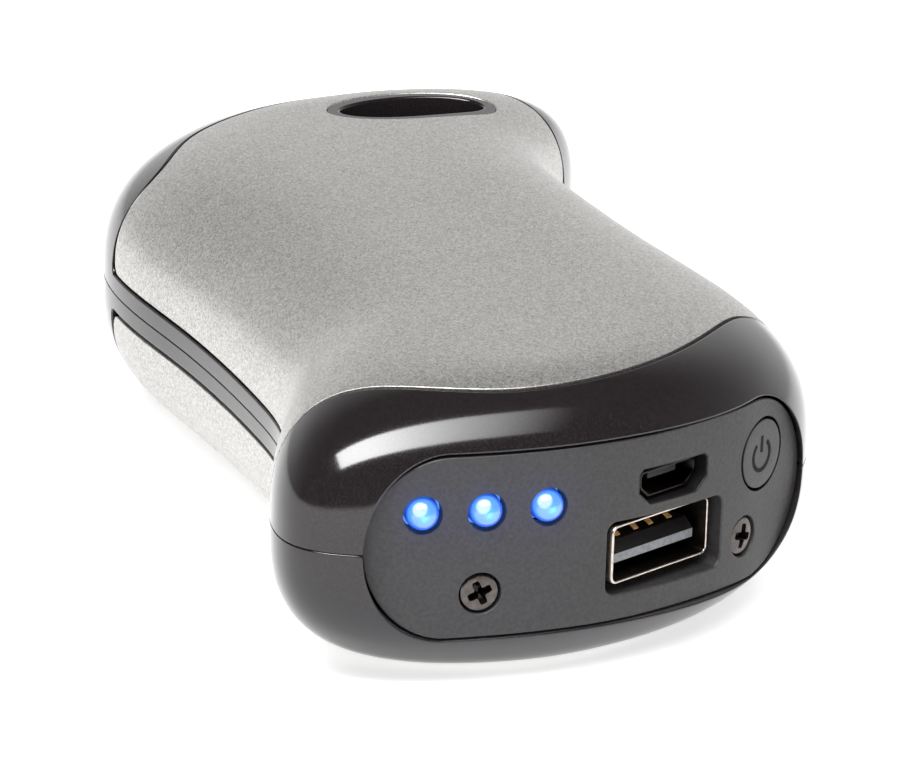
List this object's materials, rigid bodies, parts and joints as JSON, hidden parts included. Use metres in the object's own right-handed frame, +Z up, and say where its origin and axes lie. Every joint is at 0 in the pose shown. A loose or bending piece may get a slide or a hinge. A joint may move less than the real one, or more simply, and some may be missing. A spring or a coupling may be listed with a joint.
{
  "type": "hand warmer",
  "caption": "Rechargeable hand warmer with a waisted case, metal panels on both faces, an end plate with lamps, button and sockets, and an oval lanyard opening.",
  "frame": {"origin": "middle of the resting face, under the middle of the part's box", "axes": "+Y from the port end to the lanyard end, +Z up from the resting face, +X to the right seen from the port end"},
  "size_m": [0.0562, 0.1074, 0.0284],
  "materials": {
    "black_plastic": "gloss",
    "silver_panel": "satin metallic",
    "plate_plastic": "fine texture",
    "dark_steel": "dark nickel",
    "lamp_lens": "clear gloss",
    "tinned_metal": "satin",
    "pale_plastic": "satin",
    "dark_component": "matte",
    "nickel_shell": "polished",
    "socket_insulator": "satin",
    "gold_contact": "polished",
    "board": "satin",
    "cell_sleeve": "gloss",
    "heater_film": "satin",
    "lead_insulation": "satin"
  },
  "bodies": {
    "root": {"front_housing": "black_plastic", "back_housing": "black_plastic", "front_panel": "silver_panel", "back_panel": "silver_panel", "end_plate": "plate_plastic", "plate_screws": "dark_steel", "led_left": "lamp_lens", "led_middle": "lamp_lens", "led_right": "lamp_lens", "led_leads": "tinned_metal", "switch_body": "dark_component", "usb_a_shell": "nickel_shell", "usb_a_tongue": "socket_insulator", "usb_a_contacts": "gold_contact", "micro_usb_shell": "nickel_shell", "micro_usb_tongue": "dark_component", "micro_usb_contacts": "gold_contact", "circuit_board": "board", "board_chips": "dark_component", "boost_coil": "dark_component", "board_screws": "tinned_metal", "housing_screws": "tinned_metal", "cell_left": "cell_sleeve", "cell_right": "cell_sleeve", "cell_cradle": "pale_plastic", "cell_strips": "tinned_metal", "heater_front": "heater_film", "heater_back": "heater_film", "thermistor": "dark_component", "battery_leads": "lead_insulation", "heater_leads": "lead_insulation"},
    "button": {"power_button": "plate_plastic", "switch_plunger": "pale_plastic"}
  },
  "joints": [
    {"name": "button_press", "type": "slide", "parent": "root", "child": "button", "axis": [-0.7156, 0.6985, 0], "range_m": [0, 0.00035], "stiffness_N_per_m": 400}
  ]
}
